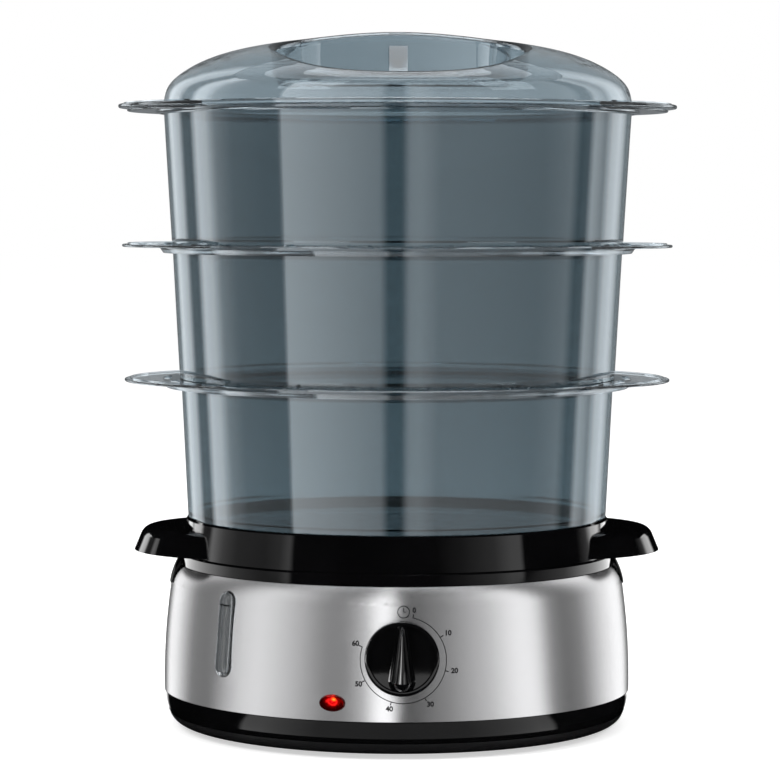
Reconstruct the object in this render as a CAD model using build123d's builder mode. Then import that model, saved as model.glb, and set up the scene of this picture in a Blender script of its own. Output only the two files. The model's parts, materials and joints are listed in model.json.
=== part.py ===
from build123d import *
import os
from math import cos, radians, sin

# Electric food steamer: a base with a water tank, a heater and a timer, a drip tray, three stacking
# bowls and a lid. Millimetres, +Z up, the front faces -Y, origin on the floor below the middle.

# ---------------------------------------------------------------- driving dimensions
wall = 2.2  # moulded housings, tray and lid
bowl_wall = 2.0
steel_sheet = 0.8
gap = 0.3  # clearance between parts that only stand near each other
seat_gap = 0.3  # clearance under a part that rests on the one below

# base, from the floor up
foot_height = 3.3
base_bottom = 2.5
base_bottom_radius = 118.5
cover_split = 8.6  # joint line between bottom cover and housing
cover_split_radius = 125.3
skirt_radius = 128.0
skirt_top = 20.2
steel_bottom = 20.5
steel_mid = (127.4, 48.0)  # radius, height of the barrel at its middle
shoulder_start = (124.1, 80.0)
shoulder_mid = (122.7, 84.4)
steel_top = (119.3, 89.2)
housing_top = 88.2
trim_bottom = 89.5
trim_top = 95.8
trim_radius = 119.0

# water tank
tank_mouth_radius = 111.4
tank_flange_radius = 114.5
tank_flange_top = 95.0
tank_flange_bottom = 92.8
tank_step = 77.0
tank_well_radius = 86.0
tank_floor = 28.5
heater_hole_radius = 34.0
post_radius = 4.5
post_circle = 100.0
post_angles = (0, 60, 120, 180, 240, 300)

# drip tray
tray_bottom = 96.1
tray_foot_radius = 118.0
tray_top = 115.1
tray_ring_radius = 115.8
tray_ledge = 106.6
tray_well_radius = 108.4
tray_floor = 88.0
port_circle = 68.0
port_radius = 7.0
port_height = 10.0
handle_middle = 82.5  # a handle is a round lobe about this point
handle_top_radius = 56.6  # where its flat top would meet its side
handle_foot_radius = 62.0
handle_top = 109.8
handle_bottom = 96.8

# bowls: the rim heights, and the outer radii at the foot and at the rim
bowl_seat = (tray_top, 190.9, 264.3)
bowl_rim = (190.9, 264.3, 338.0)
bowl_lip_bottom = (186.4, 259.6, 335.4)
bowl_foot_radius = (114.9, 119.4, 123.6)
bowl_top_radius = (118.5, 123.2, 127.8)
bowl_lip_radius = (128.7, 130.3, 132.4)
bowl_spigot_radius = (113.1, 115.2, 119.8)
bowl_ear_tip = (149.7, 150.9, 148.0)
spigot_depth = 7.0
flange_plate = 2.0
floor_plate = 2.0
floor_hole_radius = 2.1
floor_rings = 5
ear_radius = 94.0
ear_plate = 1.5

# lid
lid_bottom = bowl_rim[2] + seat_gap
lid_flange_top = lid_bottom + 2.3
lid_flange_radius = 132.6
lid_skirt_radius = 125.2
lid_ear_tip = 152.8
lid_ear_plate = 2.1
lid_top = 380.0
ridge_round = 3.5
ridge_half = 14.0
scoop_floor = 353.5
scoop_centre = 57.0
scoop_radius = 64.5
scoop_flare = 6.0  # degrees that the scoop opens upwards
rib_width = 10.0

# controls on the front
knob_height = 53.7
knob_radius = 19.3
knob_back = -128.6
knob_face = -133.2
knob_front = -142.7
shaft_radius = 3.0
shaft_clearance = 0.05
timer_front = -119.0
timer_depth = 24.0
timer_radius = 21.0
lamp_angle = -16.2  # round the front, from the middle towards +X
lamp_height = 29.8
lamp_half = (6.85, 4.3)
gauge_angle = -46.7
gauge_height = 60.6
gauge_length = 45.0
gauge_width = 11.0
gauge_lean = 5.5  # degrees that the barrel leans back at the gauge
gauge_surface = 126.4  # radius of the steel at the middle of the gauge

# cord inlet
gland_height = 14.6
gland_bore = 3.6
gland_start = 120.5
gland_end = 141.5

os.makedirs("parts", exist_ok=True)


def save(builder, name):
    builder.part.label = name
    export_step(builder.part, f"parts/{name}.step")


def front_plane(angle, radius, height, lean=0.0):
    """Plane facing outwards at an angle round the front, +X side positive, leaning back by lean."""
    outward = Vector(
        sin(radians(angle)) * cos(radians(lean)),
        -cos(radians(angle)) * cos(radians(lean)),
        sin(radians(lean)),
    )
    origin = Vector(radius * sin(radians(angle)), -radius * cos(radians(angle)), height)
    sideways = Vector(cos(radians(angle)), sin(radians(angle)), 0)
    return Plane(origin=origin, x_dir=sideways, z_dir=outward)


def shifted(point, inwards, down=0.0):
    return (point[0] - inwards, point[1] - down)


knob_plane = front_plane(0, 0, knob_height)
lamp_plane = front_plane(lamp_angle, 0, lamp_height)
gauge_plane = front_plane(gauge_angle, gauge_surface, gauge_height, gauge_lean)
gland_plane = Plane(origin=(0, 0, gland_height), x_dir=(-1, 0, 0), z_dir=(0, 1, 0))

# ---------------------------------------------------------------- bottom cover and feet
foot_circle = 90.0
foot_radius = 8.0
foot_sunk = 0.8
screw_head_radius = 3.2
screw_head_depth = 1.2
screw_radius = 1.5
cover_inside = base_bottom + wall
vent_circle = 62.0

with BuildPart() as bottom_cover:
    with BuildSketch(Plane.XZ):
        with BuildLine():
            Line((0, base_bottom), (base_bottom_radius, base_bottom))
            ThreePointArc(
                (base_bottom_radius, base_bottom),
                (123.1, 4.8),
                (cover_split_radius, cover_split),
            )
            Line((cover_split_radius, cover_split), (cover_split_radius - wall, cover_split))
            ThreePointArc(
                (cover_split_radius - wall, cover_split),
                (121.1, 6.2),
                (base_bottom_radius - 1, cover_inside),
            )
            Line((base_bottom_radius - 1, cover_inside), (0, cover_inside))
            Line((0, cover_inside), (0, base_bottom))
        make_face()
    revolve(axis=Axis.Z)
    with BuildSketch(Plane.XY.offset(base_bottom)):
        with PolarLocations(foot_circle, 4, start_angle=45):
            Circle(foot_radius + 0.1)
    extrude(amount=foot_sunk, mode=Mode.SUBTRACT)
    with BuildSketch(Plane.XY.offset(base_bottom)):
        with PolarLocations(post_circle, len(post_angles)):
            Circle(screw_head_radius + 0.3)
    extrude(amount=screw_head_depth, mode=Mode.SUBTRACT)
    with BuildSketch(Plane.XY.offset(base_bottom)):
        with PolarLocations(post_circle, len(post_angles)):
            Circle(screw_radius + 0.2)
        with PolarLocations(vent_circle, 12, start_angle=15):
            SlotOverall(16, 3)
    extrude(amount=wall, mode=Mode.SUBTRACT)
save(bottom_cover, "bottom_cover")

with BuildPart() as rubber_feet:
    with BuildSketch():
        with PolarLocations(foot_circle, 4, start_angle=45):
            Circle(foot_radius)
    extrude(amount=foot_height)
    chamfer(rubber_feet.faces().sort_by(Axis.Z)[:4].edges(), 0.6)
save(rubber_feet, "rubber_feet")

with BuildPart() as cover_screws:
    with BuildSketch(Plane.XY.offset(base_bottom + 0.1)):
        with PolarLocations(post_circle, len(post_angles)):
            Circle(screw_head_radius)
    extrude(amount=screw_head_depth - 0.1)
    with BuildSketch(Plane.XY.offset(base_bottom + screw_head_depth)):
        with PolarLocations(post_circle, len(post_angles)):
            Circle(screw_radius)
    extrude(amount=12)
    with BuildSketch(Plane.XY.offset(base_bottom + 0.1)):
        with PolarLocations(post_circle, len(post_angles)):
            Rectangle(3.6, 0.8)
            Rectangle(0.8, 3.6)
    extrude(amount=0.6, mode=Mode.SUBTRACT)
save(cover_screws, "cover_screws")

# ---------------------------------------------------------------- base housing and steel wrap
liner = steel_sheet + gap  # the housing's wall stands this far inside the steel's outer face
housing_rim = steel_top[0] - 1.6

with BuildPart() as housing_cavity:
    with BuildSketch(Plane.XZ):
        with BuildLine():
            Line((0, cover_split), (cover_split_radius - wall, cover_split))
            ThreePointArc(
                (cover_split_radius - wall, cover_split),
                (124.6, 13.5),
                (skirt_radius - wall - 0.9, skirt_top),
            )
            ThreePointArc(
                (skirt_radius - wall - 0.9, skirt_top),
                shifted(steel_mid, liner + wall),
                shifted(shoulder_start, liner + wall),
            )
            ThreePointArc(
                shifted(shoulder_start, liner + wall),
                shifted(shoulder_mid, liner + wall),
                (housing_rim - wall + 0.4, housing_top),
            )
            Line((housing_rim - wall + 0.4, housing_top), (0, housing_top))
            Line((0, housing_top), (0, cover_split))
        make_face()
    revolve(axis=Axis.Z)
    # the flat boss that the timer is screwed to stays solid
    with BuildSketch(knob_plane.offset(-timer_front)):
        Circle(timer_radius + 3)
    extrude(amount=12, mode=Mode.SUBTRACT)

with BuildPart() as base_housing:
    with BuildSketch(Plane.XZ):
        with BuildLine():
            Line((0, cover_split + 0.2), (cover_split_radius + 0.1, cover_split + 0.2))
            ThreePointArc(
                (cover_split_radius + 0.1, cover_split + 0.2),
                (127.3, 13.5),
                (skirt_radius, skirt_top),
            )
            Line((skirt_radius, skirt_top), (skirt_radius - 1.1, skirt_top))
            ThreePointArc(
                (skirt_radius - 1.1, skirt_top),
                shifted(steel_mid, liner),
                shifted(shoulder_start, liner),
            )
            ThreePointArc(
                shifted(shoulder_start, liner),
                shifted(shoulder_mid, liner),
                (housing_rim, housing_top),
            )
            Line((housing_rim, housing_top), (0, housing_top))
            Line((0, housing_top), (0, cover_split + 0.2))
        make_face()
    revolve(axis=Axis.Z)
    add(housing_cavity.part, mode=Mode.SUBTRACT)
    with BuildSketch(knob_plane.offset(100)):
        Circle(shaft_radius + 2.5)
    extrude(amount=40, mode=Mode.SUBTRACT)
    with BuildSketch(lamp_plane.offset(100)):
        Ellipse(lamp_half[0] + 0.3, lamp_half[1] + 0.3)
    extrude(amount=40, mode=Mode.SUBTRACT)
    with BuildSketch(gauge_plane.offset(-20)):
        SlotOverall(gauge_length + 0.8, gauge_width + 0.8, rotation=90)
    extrude(amount=40, mode=Mode.SUBTRACT)
    with BuildSketch(gland_plane.offset(100)):
        Circle(gland_bore + 1.6)
    extrude(amount=40, mode=Mode.SUBTRACT)
save(base_housing, "base_housing")

with BuildPart() as steel_wrap:
    with BuildSketch(Plane.XZ):
        with BuildLine():
            ThreePointArc((skirt_radius, steel_bottom), steel_mid, shoulder_start)
            ThreePointArc(shoulder_start, shoulder_mid, steel_top)
            Line(steel_top, shifted(steel_top, 0.7, 0.5))
            ThreePointArc(
                shifted(steel_top, 0.7, 0.5),
                shifted(shoulder_mid, steel_sheet, 0.3),
                shifted(shoulder_start, steel_sheet),
            )
            ThreePointArc(
                shifted(shoulder_start, steel_sheet),
                shifted(steel_mid, steel_sheet),
                (skirt_radius - steel_sheet, steel_bottom),
            )
            Line((skirt_radius - steel_sheet, steel_bottom), (skirt_radius, steel_bottom))
        make_face()
    revolve(axis=Axis.Z)
    with BuildSketch(knob_plane.offset(100)):
        Circle(shaft_radius + 2)
    extrude(amount=40, mode=Mode.SUBTRACT)
    with BuildSketch(lamp_plane.offset(100)):
        Ellipse(lamp_half[0] + 0.15, lamp_half[1] + 0.15)
    extrude(amount=40, mode=Mode.SUBTRACT)
    with BuildSketch(gauge_plane.offset(-20)):
        SlotOverall(gauge_length + 0.5, gauge_width + 0.5, rotation=90)
    extrude(amount=40, mode=Mode.SUBTRACT)
save(steel_wrap, "steel_wrap")

# trim ring: the black band that carries the tank, with a lug at each side over the steel's shoulder
lug_angle = 18.0
lug_top = 94.0

with BuildPart() as trim_ring:
    with BuildSketch(Plane.XZ):
        with BuildLine():
            Polyline(
                (tank_mouth_radius + 0.9, housing_top),
                (housing_rim - 0.2, housing_top),
                (trim_radius - 0.8, trim_bottom),
                (trim_radius, trim_bottom),
                (trim_radius - 0.3, trim_top - 0.8),
                (trim_radius - 0.9, trim_top),
                (tank_flange_radius + gap, trim_top),
                (tank_flange_radius + gap, tank_flange_bottom),
                (tank_mouth_radius + 0.9, tank_flange_bottom),
                close=True,
            )
        make_face()
    revolve(axis=Axis.Z)
    for side in (0, 180):
        with BuildSketch(Plane.XZ.rotated((0, 0, side - lug_angle / 2))):
            with BuildLine():
                ThreePointArc(
                    (trim_radius + 0.3, lug_top),
                    (shoulder_mid[0] + 0.6, shoulder_mid[1] + 1.8),
                    (shoulder_start[0] + 0.9, shoulder_start[1] - 0.4),
                )
                Line(
                    (shoulder_start[0] + 0.9, shoulder_start[1] - 0.4),
                    (shoulder_start[0] + gap, shoulder_start[1] - 0.2),
                )
                ThreePointArc(
                    (shoulder_start[0] + gap, shoulder_start[1] - 0.2),
                    (shoulder_mid[0] + gap, shoulder_mid[1] + 0.2),
                    (steel_top[0] + 0.2, trim_bottom + 0.1),
                )
                Polyline(
                    (steel_top[0] + 0.2, trim_bottom + 0.1),
                    (trim_radius - 0.6, trim_bottom + 0.1),
                    (trim_radius - 0.6, lug_top),
                    (trim_radius + 0.3, lug_top),
                )
            make_face()
        revolve(axis=Axis.Z, revolution_arc=lug_angle)
save(trim_ring, "trim_ring")

# ---------------------------------------------------------------- water tank
nipple_height = gauge_height - 17.0

with BuildPart() as water_tank:
    with BuildSketch(Plane.XZ):
        with BuildLine():
            Polyline(
                (tank_flange_radius, tank_flange_bottom),
                (tank_flange_radius, tank_flange_top),
                (tank_mouth_radius - 0.2, tank_flange_top),
                (tank_mouth_radius - 1.4, tank_step + wall),
                (tank_well_radius - wall, tank_step + wall - 1),
                (tank_well_radius - wall - 2, tank_floor + 8),
                (tank_well_radius - wall - 10, tank_floor),
                (heater_hole_radius, tank_floor),
                (heater_hole_radius, tank_floor - wall),
                (tank_well_radius - 9, tank_floor - wall),
                (tank_well_radius - 2, tank_floor + 5),
                (tank_well_radius, tank_step - 1),
                (tank_mouth_radius - 0.2, tank_step),
                (tank_mouth_radius + 0.6, tank_flange_bottom),
                close=True,
            )
        make_face()
    revolve(axis=Axis.Z)
    with BuildSketch(Plane.XY.offset(cover_inside)):
        with PolarLocations(post_circle, len(post_angles)):
            Circle(post_radius)
    extrude(amount=tank_step + 0.5 - cover_inside)
    with BuildSketch(Plane.XY.offset(cover_inside)):
        with PolarLocations(post_circle, len(post_angles)):
            Circle(screw_radius + 0.05)
    extrude(amount=14, mode=Mode.SUBTRACT)
    # nipple for the gauge hose
    with BuildSketch(front_plane(gauge_angle, tank_well_radius - 2, nipple_height)):
        Circle(2.6)
    extrude(amount=12)
    with BuildSketch(front_plane(gauge_angle, tank_well_radius - 10, nipple_height)):
        Circle(1.5)
    extrude(amount=30, mode=Mode.SUBTRACT)
save(water_tank, "water_tank")

# ---------------------------------------------------------------- heater
plate_radius = 40.0
seal_radius = 39.0
seal_height = 0.8
plate_bottom = tank_floor + seal_height
plate_thickness = 1.5
element_radius = 24.0
element_rod = 3.3
element_height = plate_bottom - element_rod - 4.0
clamp_top = tank_floor - wall

with BuildPart() as heater_seal:
    with BuildSketch(Plane.XY.offset(tank_floor)):
        Circle(seal_radius)
        Circle(heater_hole_radius + 1, mode=Mode.SUBTRACT)
    extrude(amount=seal_height)
save(heater_seal, "heater_seal")

with BuildPart() as heater_plate:
    with BuildSketch(Plane.XY.offset(plate_bottom)):
        Circle(plate_radius)
    extrude(amount=plate_thickness)
    fillet(heater_plate.faces().sort_by(Axis.Z)[-1].edges(), 0.6)
    # cast block below the plate, which the element is pressed into
    with BuildSketch(Plane.XY.offset(plate_bottom)):
        Circle(element_radius + 5)
        Circle(element_radius - 5, mode=Mode.SUBTRACT)
    extrude(amount=-4)
    with BuildSketch(Plane.XY.offset(plate_bottom)):
        Circle(10)
    extrude(amount=-4)
    with BuildSketch(Plane.XY.offset(plate_bottom)):
        with PolarLocations(heater_hole_radius - 2.6, 3, start_angle=90):
            Circle(1.6)
    extrude(amount=-9)
save(heater_plate, "heater_plate")

element_gap_angle = 50.0  # opening of the element's ring, towards the back
lead_length = 9.0

with BuildPart() as heating_element:
    with BuildSketch(Plane.XZ.rotated((0, 0, 90 + element_gap_angle / 2))):
        with Locations((element_radius, element_height)):
            Circle(element_rod)
    revolve(axis=Axis.Z, revolution_arc=360 - element_gap_angle)
    for end in (-1, 1):
        angle = radians(90 + end * element_gap_angle / 2)
        foot = (element_radius * cos(angle), element_radius * sin(angle))
        with BuildSketch(Plane.XY.offset(element_height)):
            with Locations(foot):
                Circle(element_rod)
        extrude(amount=-lead_length)
        with BuildSketch(Plane.XY.offset(element_height - lead_length)):
            with Locations(foot):
                Rectangle(0.8, 4)
        extrude(amount=-2)
save(heating_element, "heating_element")

with BuildPart() as heater_clamp:
    with BuildSketch(Plane.XY.offset(clamp_top)):
        Circle(heater_hole_radius + 4)
        Circle(element_radius + 6, mode=Mode.SUBTRACT)
        with PolarLocations(heater_hole_radius - 2.6, 3, start_angle=90):
            Circle(1.8, mode=Mode.SUBTRACT)
    extrude(amount=-1.2)
save(heater_clamp, "heater_clamp")

with BuildPart() as clamp_nuts:
    with BuildSketch(Plane.XY.offset(clamp_top - 1.2)):
        with PolarLocations(heater_hole_radius - 2.6, 3, start_angle=90):
            RegularPolygon(1.75 + 1.2, 6)
            Circle(1.65, mode=Mode.SUBTRACT)
    extrude(amount=-2.4)
save(clamp_nuts, "clamp_nuts")

thermostat_top = plate_bottom - 4

with BuildPart() as thermostat:
    with BuildSketch(Plane.XY.offset(thermostat_top)):
        Circle(8)
    extrude(amount=-7)
    fillet(thermostat.faces().sort_by(Axis.Z)[0].edges(), 1)
    with BuildSketch(Plane.XY.offset(thermostat_top - 7)):
        with Locations((-4, 0), (4, 0)):
            Rectangle(0.8, 5)
    extrude(amount=-4)
save(thermostat, "thermostat")

with BuildPart() as thermal_fuse:
    with BuildSketch(Plane.XZ.offset(30)):
        with Locations((0, 12)):
            Circle(2)
    extrude(amount=11, both=True)
    with BuildSketch(Plane.XZ.offset(30)):
        with Locations((0, 12)):
            Circle(0.5)
    extrude(amount=17, both=True)
save(thermal_fuse, "thermal_fuse")

# steam ring: a cone round the heater plate, notched at the foot, that boils a little water first
ring_foot_radius = 48.0
ring_top_radius = 42.0
ring_top = 62.0

with BuildPart() as steam_ring:
    with BuildSketch(Plane.XZ):
        with BuildLine():
            Polyline(
                (ring_foot_radius, tank_floor + seat_gap),
                (ring_top_radius, ring_top - 0.8),
                (ring_top_radius - 0.8, ring_top),
                (ring_top_radius - 2, ring_top),
                (ring_foot_radius - 2, tank_floor + seat_gap),
                close=True,
            )
        make_face()
    revolve(axis=Axis.Z)
    for turn in (0, 90):
        with BuildSketch(Plane.XZ.rotated((0, 0, turn))):
            with Locations((0, tank_floor)):
                SlotOverall(16, 8, rotation=90)
        extrude(amount=80, both=True, mode=Mode.SUBTRACT)
save(steam_ring, "steam_ring")

# ---------------------------------------------------------------- timer and knob
case_back = timer_front + timer_depth
cam_front = timer_front + 4.0
cam_thickness = 5.0
timer_screw_offset = 15.0

with BuildPart() as timer_case:
    with BuildSketch(knob_plane.offset(-case_back + 2)):
        Circle(timer_radius)
    extrude(amount=timer_depth - 2)
    with BuildSketch(knob_plane.offset(-case_back + 2)):
        Circle(timer_radius - 1.6)
    extrude(amount=timer_depth - 3.6, mode=Mode.SUBTRACT)
    # pillars for the screws and the bearing tube of the shaft
    with BuildSketch(knob_plane.offset(-case_back + 2)):
        with Locations((-timer_screw_offset, 0), (timer_screw_offset, 0)):
            Circle(2.8)
    extrude(amount=timer_depth - 3)
    with BuildSketch(knob_plane.offset(-cam_front + 0.4)):
        Circle(shaft_radius + 2)
    extrude(amount=3)
    with BuildSketch(knob_plane.offset(-case_back)):
        Circle(shaft_radius + shaft_clearance)
    extrude(amount=timer_depth + 1, mode=Mode.SUBTRACT)
    with BuildSketch(knob_plane.offset(-case_back)):
        with Locations((-timer_screw_offset, 0), (timer_screw_offset, 0)):
            Circle(1.3)
    extrude(amount=timer_depth + 1, mode=Mode.SUBTRACT)
save(timer_case, "timer_case")

with BuildPart() as timer_cover:
    with BuildSketch(knob_plane.offset(-case_back)):
        Circle(timer_radius)
        Circle(shaft_radius + shaft_clearance, mode=Mode.SUBTRACT)
        with Locations((-timer_screw_offset, 0), (timer_screw_offset, 0)):
            Circle(1.3, mode=Mode.SUBTRACT)
    extrude(amount=2)
save(timer_cover, "timer_cover")

with BuildPart() as timer_screws:
    with BuildSketch(knob_plane.offset(-case_back)):
        with Locations((-timer_screw_offset, 0), (timer_screw_offset, 0)):
            Circle(2.4)
    extrude(amount=-1.4)
    with BuildSketch(knob_plane.offset(-case_back)):
        with Locations((-timer_screw_offset, 0), (timer_screw_offset, 0)):
            Circle(1.2)
    extrude(amount=timer_depth - 0.4)
save(timer_screws, "timer_screws")

with BuildPart() as timer_shaft:
    with BuildSketch(knob_plane.offset(-case_back - 1)):
        Circle(shaft_radius)
    extrude(amount=case_back + 1 - knob_front - 5)
    # flat that the knob's hub and the clip grip
    with BuildSketch(knob_plane.offset(-knob_back - 0.6)):
        with Locations((0, shaft_radius)):
            Rectangle(2 * shaft_radius, 2)
    extrude(amount=20, mode=Mode.SUBTRACT)
    with BuildSketch(knob_plane.offset(-cam_front - cam_thickness)):
        Rectangle(8.0, 2.0)
    extrude(amount=cam_thickness)
save(timer_shaft, "timer_shaft")

with BuildPart() as timer_cam:
    with BuildSketch(knob_plane.offset(-cam_front - cam_thickness)):
        Circle(10)
        with Locations((0, 10)):
            Circle(2.2, mode=Mode.SUBTRACT)
        Circle(shaft_radius + shaft_clearance, mode=Mode.SUBTRACT)
        Rectangle(8.2, 2.2, mode=Mode.SUBTRACT)
    extrude(amount=cam_thickness)
save(timer_cam, "timer_cam")

contact_y = -cam_front - cam_thickness

with BuildPart() as timer_contacts:
    with BuildSketch(knob_plane.offset(contact_y + 1)):
        with Locations((0, 11.1), (0, 14.1)):
            Rectangle(12, 0.5)
        with Locations((4, 12.6)):
            Rectangle(2, 2.5)
    extrude(amount=3)
save(timer_contacts, "timer_contacts")

with BuildPart() as timer_bell:
    with BuildSketch(knob_plane.offset(-case_back - 1.6)):
        with Locations((0, -11)):
            Circle(8)
    extrude(amount=-5)
    fillet(timer_bell.faces().sort_by(Axis.Y)[-1].edges(), 3)
    with BuildSketch(knob_plane.offset(-case_back - 1.6)):
        with Locations((0, -11)):
            Circle(7.2)
    extrude(amount=-4.2, taper=20, mode=Mode.SUBTRACT)
    with BuildSketch(knob_plane.offset(-case_back)):
        with Locations((0, -11)):
            Circle(1.2)
    extrude(amount=-6)
save(timer_bell, "timer_bell")

# knob: a dished disc with a tapered grip, narrow at its pointer end
grip_foot = 11.3
grip_point = 16.2

with BuildPart() as timer_knob:
    with BuildSketch(knob_plane.offset(-knob_back)):
        Circle(knob_radius)
    extrude(amount=knob_back - knob_face)
    fillet(timer_knob.faces().sort_by(Axis.Y)[0].edges(), 1.2)
    with BuildSketch(knob_plane.offset(-knob_face)):
        Circle(knob_radius - 2.2)
    extrude(amount=-1.0, taper=30, mode=Mode.SUBTRACT)
    with BuildSketch(knob_plane.offset(-knob_face - 1.0)):
        with Locations((0, -grip_foot)):
            Circle(6.6)
        with Locations((0, grip_point)):
            Circle(2.0)
        make_hull()
    with BuildSketch(knob_plane.offset(-knob_front)):
        with Locations((0, -grip_foot)):
            Circle(3.4)
        with Locations((0, grip_point - 2.5)):
            Circle(1.3)
        make_hull()
    loft()
    fillet(timer_knob.faces().sort_by(Axis.Y)[0].edges(), 0.8)
    # hollow back, with the hub that takes the shaft
    with BuildSketch(knob_plane.offset(-knob_back)):
        Circle(knob_radius - 2)
        Circle(6.5, mode=Mode.SUBTRACT)
    extrude(amount=1.6, mode=Mode.SUBTRACT)
    with BuildSketch(knob_plane.offset(-knob_back)):
        Circle(shaft_radius + shaft_clearance)
        with Locations((0, shaft_radius)):
            Rectangle(2 * shaft_radius, 1.8, mode=Mode.SUBTRACT)
    extrude(amount=knob_back - knob_front - 4.5, mode=Mode.SUBTRACT)
    with BuildSketch(knob_plane.offset(-knob_back)):
        with Locations((0, 3.0)):
            Rectangle(4.4, 1.6)
    extrude(amount=6.2, mode=Mode.SUBTRACT)
save(timer_knob, "timer_knob")

with BuildPart() as knob_clip:
    with BuildSketch(knob_plane.offset(-knob_back + 0.8)):
        with Locations((0, 3.0)):
            Rectangle(4.0, 0.6)
    extrude(amount=5)
save(knob_clip, "knob_clip")

# ---------------------------------------------------------------- indicator lamp
lens_front = 129.8
lens_back = 120.0

with BuildPart() as lamp_lens:
    with BuildSketch(lamp_plane.offset(lens_back)):
        Ellipse(*lamp_half)
    extrude(amount=lens_front - lens_back)
    fillet(lamp_lens.faces().sort_by(Axis((0, 0, 0), lamp_plane.z_dir))[-1].edges(), 1.3)
    with BuildSketch(lamp_plane.offset(lens_back)):
        Ellipse(lamp_half[0] + 1.6, lamp_half[1] + 1.6)
    extrude(amount=2)
    with BuildSketch(lamp_plane.offset(lens_back)):
        Ellipse(lamp_half[0] - 1.4, lamp_half[1] - 1.4)
    extrude(amount=7.5, mode=Mode.SUBTRACT)
save(lamp_lens, "lamp_lens")

with BuildPart() as neon_lamp:
    with BuildSketch(lamp_plane.offset(lens_back - 6)):
        Circle(2.2)
    extrude(amount=12)
    fillet(neon_lamp.faces().sort_by(Axis((0, 0, 0), lamp_plane.z_dir))[-1].edges(), 1.6)
    with BuildSketch(lamp_plane.offset(lens_back - 6)):
        with Locations((-1, 0), (1, 0)):
            Circle(0.35)
    extrude(amount=-5)
save(neon_lamp, "neon_lamp")

with BuildPart() as lamp_clip:
    with BuildSketch(lamp_plane.offset(lens_back)):
        Ellipse(lamp_half[0] + 2.4, lamp_half[1] + 2.4)
        Circle(2.4, mode=Mode.SUBTRACT)
    extrude(amount=-5)
save(lamp_clip, "lamp_clip")

# ---------------------------------------------------------------- water gauge
window_front = 1.4
window_flange = -5.6
flange_plate_depth = 1.4
flange_long = gauge_length + 2.4
flange_wide = gauge_width + 5.0
gasket_thickness = 0.8
back_plate = 1.5
vessel_back = window_flange - flange_plate_depth
nipple_radius = 2.6
nipple_bore = 1.5

with BuildPart() as gauge_window:
    with BuildSketch(gauge_plane.offset(window_flange)):
        SlotOverall(gauge_length, gauge_width, rotation=90)
    extrude(amount=window_front - window_flange)
    fillet(gauge_window.faces().sort_by(Axis((0, 0, 0), gauge_plane.z_dir))[-1].edges(), 1.3)
    with BuildSketch(gauge_plane.offset(window_flange)):
        SlotOverall(flange_long, flange_wide, rotation=90)
    extrude(amount=-flange_plate_depth)
    with BuildSketch(gauge_plane.offset(vessel_back)):
        SlotOverall(gauge_length - 4, gauge_width - 4, rotation=90)
    extrude(amount=6.6, mode=Mode.SUBTRACT)
save(gauge_window, "gauge_window")

with BuildPart() as gauge_gasket:
    with BuildSketch(gauge_plane.offset(window_flange)):
        SlotOverall(flange_long, flange_wide, rotation=90)
        SlotOverall(gauge_length + 1, gauge_width + 1, rotation=90, mode=Mode.SUBTRACT)
    extrude(amount=gasket_thickness)
save(gauge_gasket, "gauge_gasket")

with BuildPart() as gauge_back:
    with BuildSketch(gauge_plane.offset(vessel_back)):
        SlotOverall(flange_long, flange_wide, rotation=90)
    extrude(amount=-back_plate)
    with BuildSketch(front_plane(gauge_angle, 104, nipple_height)):
        Circle(nipple_radius)
    extrude(amount=14.4)
    with BuildSketch(front_plane(gauge_angle, 103, nipple_height)):
        Circle(nipple_bore)
    extrude(amount=17, mode=Mode.SUBTRACT)
save(gauge_back, "gauge_back")

with BuildPart() as gauge_hose:
    with BuildSketch(front_plane(gauge_angle, tank_well_radius + 1.5, nipple_height)):
        Circle(nipple_radius + 1.6)
        Circle(nipple_radius + 0.05, mode=Mode.SUBTRACT)
    extrude(amount=22)
save(gauge_hose, "gauge_hose")

# ---------------------------------------------------------------- cord inlet and wiring
with BuildPart() as cord_gland:
    with BuildSketch(gland_plane.offset(gland_start)):
        Circle(gland_bore + 1.4)
    extrude(amount=gland_end - gland_start)
    chamfer(cord_gland.faces().sort_by(Axis.Y)[-1].edges(), 0.6)
    with BuildSketch(gland_plane.offset(skirt_radius + 0.3)):
        Circle(gland_bore + 3.2)
    extrude(amount=2)
    with BuildSketch(gland_plane.offset(gland_start)):
        Circle(gland_bore + 3.0)
    extrude(amount=2)
    with BuildSketch(gland_plane.offset(gland_start - 1)):
        Circle(gland_bore)
    extrude(amount=30, mode=Mode.SUBTRACT)
save(cord_gland, "cord_gland")

block_length = 34.0
block_depth = 14.0
block_height = 12.0
block_middle = 98.0
block_pitch = 10.0

with BuildPart() as terminal_block:
    with BuildSketch(Plane.XY.offset(cover_inside)):
        with Locations((0, block_middle)):
            RectangleRounded(block_length, block_depth, 2)
    extrude(amount=block_height)
    with BuildSketch(Plane.XY.offset(cover_inside + block_height)):
        with Locations((0, block_middle)):
            with GridLocations(block_pitch, block_depth / 2, 3, 2):
                Circle(1.8)
    extrude(amount=-6, mode=Mode.SUBTRACT)
    with BuildSketch(Plane.XZ.offset(-block_middle + block_depth / 2 + 1)):
        with Locations((0, cover_inside + 4)):
            with GridLocations(block_pitch, 1, 3, 1):
                Circle(1.4)
    extrude(amount=-8, mode=Mode.SUBTRACT)
save(terminal_block, "terminal_block")

wire_radius = 1.1
wire_start = block_middle - block_depth / 2
wire_level = cover_inside + 4


def wire(points, bend):
    """An insulated wire along straight runs with rounded corners."""
    with BuildPart() as strand:
        with BuildLine():
            route = FilletPolyline(*points, radius=bend)
        with BuildSketch(Plane(origin=route @ 0, z_dir=route % 0)):
            Circle(wire_radius)
        sweep()
    return strand


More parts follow.
